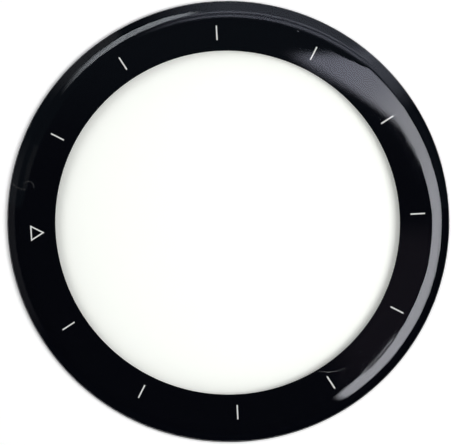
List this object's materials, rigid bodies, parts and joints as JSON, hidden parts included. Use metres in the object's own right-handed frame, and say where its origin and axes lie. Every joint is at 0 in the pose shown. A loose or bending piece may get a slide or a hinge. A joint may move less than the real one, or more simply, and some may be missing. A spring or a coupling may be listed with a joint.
{
  "type": "smartwatch screen protector",
  "caption": "Round formed clear screen protector with a black printed border, white hour marks and a see-through adhesive stack, for a round smartwatch glass.",
  "frame": {"origin": "centre of the plane that the rim stands on, on the axis of the round sheet", "axes": "+Z out of the viewing face, +Y towards the twelve marker, +X towards three o'clock"},
  "size_m": [0.045, 0.045, 0.0014],
  "materials": {
    "clear_sheet": "clear, hard coated, high gloss",
    "black_ink": "screen printed",
    "white_ink": "screen printed",
    "clear_bond": "clear, soft",
    "clear_film": "clear, smooth",
    "clear_silicone": "clear, tacky"
  },
  "bodies": {
    "root": {"cover_sheet": "clear_sheet", "border_print": "black_ink", "hour_mark_01": "white_ink", "hour_mark_02": "white_ink", "hour_mark_03": "white_ink", "hour_mark_04": "white_ink", "hour_mark_05": "white_ink", "hour_mark_06": "white_ink", "hour_mark_07": "white_ink", "hour_mark_08": "white_ink", "hour_mark_09": "white_ink", "hour_mark_10": "white_ink", "hour_mark_11": "white_ink", "twelve_marker": "white_ink", "bond_layer": "clear_bond", "carrier_film": "clear_film", "silicone_adhesive": "clear_silicone"}
  },
  "joints": []
}
